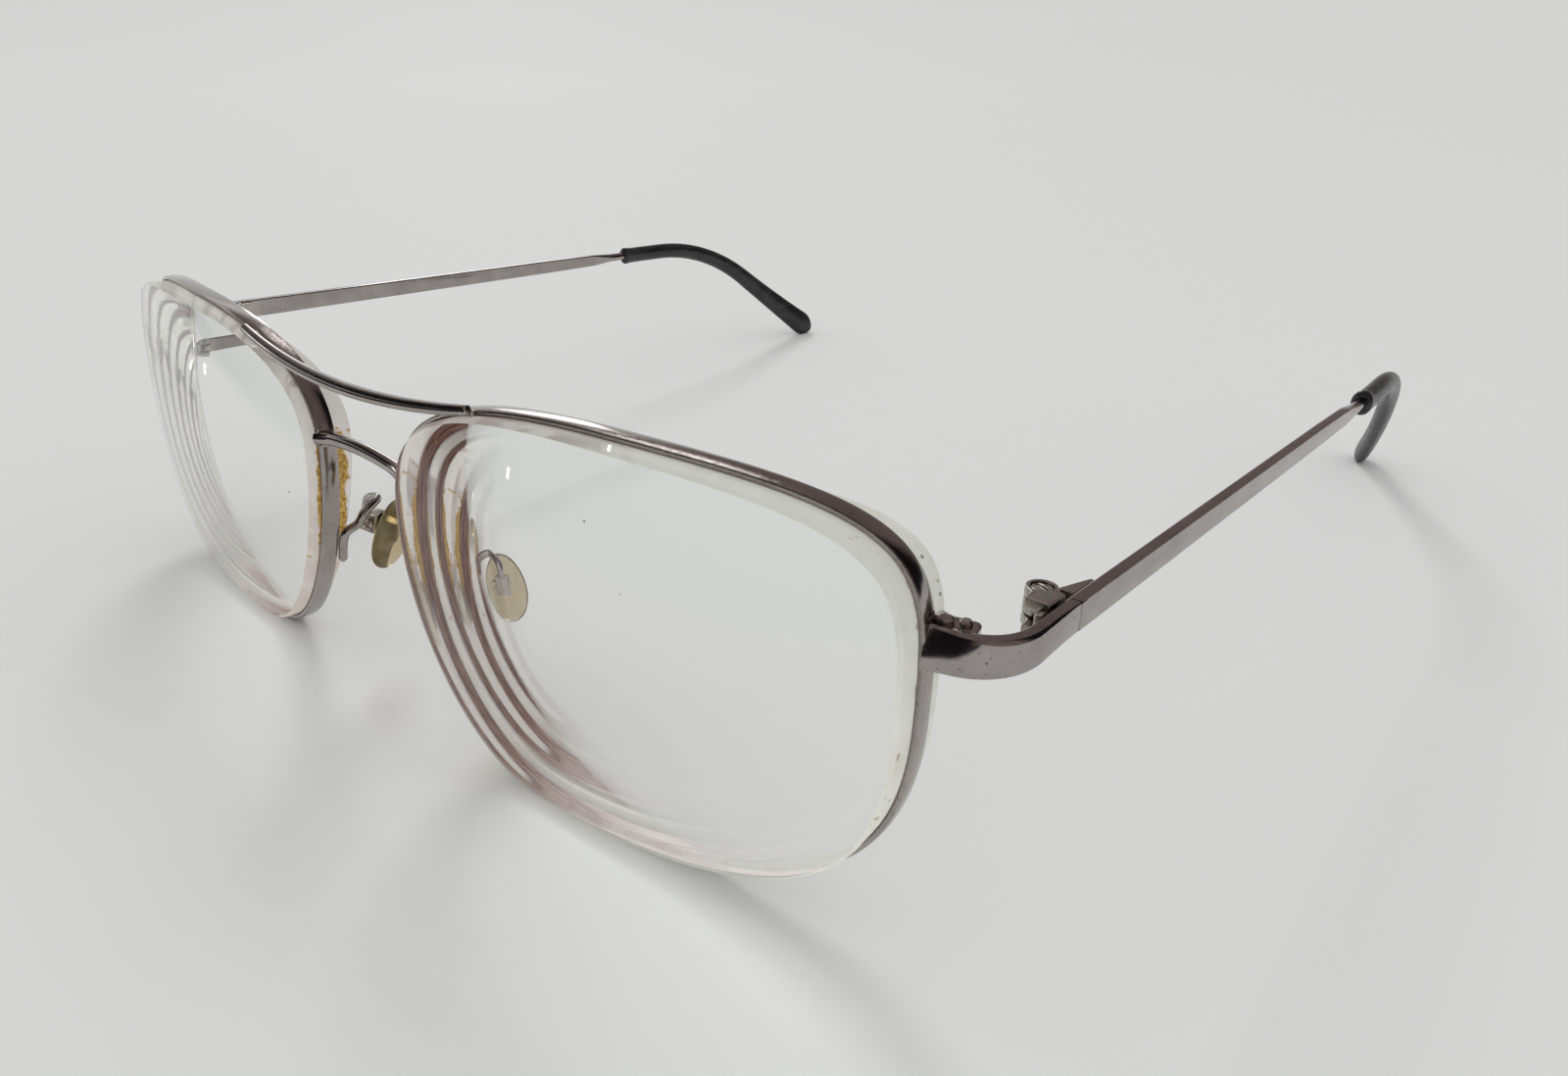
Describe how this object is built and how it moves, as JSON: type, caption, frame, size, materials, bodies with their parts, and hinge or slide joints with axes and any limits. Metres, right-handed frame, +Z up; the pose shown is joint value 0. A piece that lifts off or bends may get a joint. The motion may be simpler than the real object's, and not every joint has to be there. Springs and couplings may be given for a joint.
{
  "type": "aviator eyeglasses",
  "caption": "Full-rim metal aviator spectacles with brow bar and bridge, thick minus lenses, rocking nose pads and folding temples with moulded tips.",
  "frame": {"origin": "on the table, under the middle of the whole object's box", "axes": "+X to the wearer's left, +Y back along the temples, +Z up; the glasses stand open on the rims and the tips"},
  "size_m": [0.1414, 0.1502, 0.039],
  "materials": {
    "gunmetal": "polished dark grey plating with a warm cast, lightly worn",
    "steel": "plain bright metal of hinges, boxes and screws, dull in the corners",
    "lens": "clear high-index lens, polished faces, frosted pale edge",
    "tip": "smooth black moulding",
    "pad": "soft translucent pad, yellowed with age"
  },
  "bodies": {
    "front": {"brow_bar": "gunmetal", "bridge": "gunmetal", "left_rim": "gunmetal", "right_rim": "gunmetal", "left_lens": "lens", "right_lens": "lens", "left_end_piece": "gunmetal", "right_end_piece": "gunmetal", "left_closing_block_upper": "gunmetal", "right_closing_block_upper": "gunmetal", "left_closing_block_lower": "gunmetal", "right_closing_block_lower": "gunmetal", "left_closing_screw": "steel", "right_closing_screw": "steel", "left_hinge_front_leaf": "steel", "right_hinge_front_leaf": "steel", "left_hinge_screw": "steel", "right_hinge_screw": "steel", "left_pad_arm": "gunmetal", "right_pad_arm": "gunmetal", "left_pad_box": "steel", "right_pad_box": "steel", "left_pad_screw": "steel", "right_pad_screw": "steel"},
    "left_arm": {"left_temple": "gunmetal", "left_temple_tip": "tip", "left_hinge_temple_leaf": "steel"},
    "right_arm": {"right_temple": "gunmetal", "right_temple_tip": "tip", "right_hinge_temple_leaf": "steel"},
    "left_pad": {"left_nose_pad": "pad", "left_pad_lug": "steel"},
    "right_pad": {"right_nose_pad": "pad", "right_pad_lug": "steel"}
  },
  "joints": [
    {"name": "left_fold", "type": "hinge", "parent": "front", "child": "left_arm", "pos_m": [0.06679, -0.05425, 0.02803], "axis": [0, 0.0469, 0.9989], "range_deg": [0, 88]},
    {"name": "right_fold", "type": "hinge", "parent": "front", "child": "right_arm", "pos_m": [-0.06679, -0.05425, 0.02803], "axis": [0, -0.0469, -0.9989], "range_deg": [0, 80]},
    {"name": "left_pad_rock", "type": "hinge", "parent": "front", "child": "left_pad", "pos_m": [0.0112, -0.06634, 0.01558], "axis": [-0.5, -0.8651, 0.0406], "range_deg": [-12, 12]},
    {"name": "right_pad_rock", "type": "hinge", "parent": "front", "child": "right_pad", "pos_m": [-0.0112, -0.06634, 0.01558], "axis": [0.5, -0.8651, 0.0406], "range_deg": [-12, 12]}
  ]
}
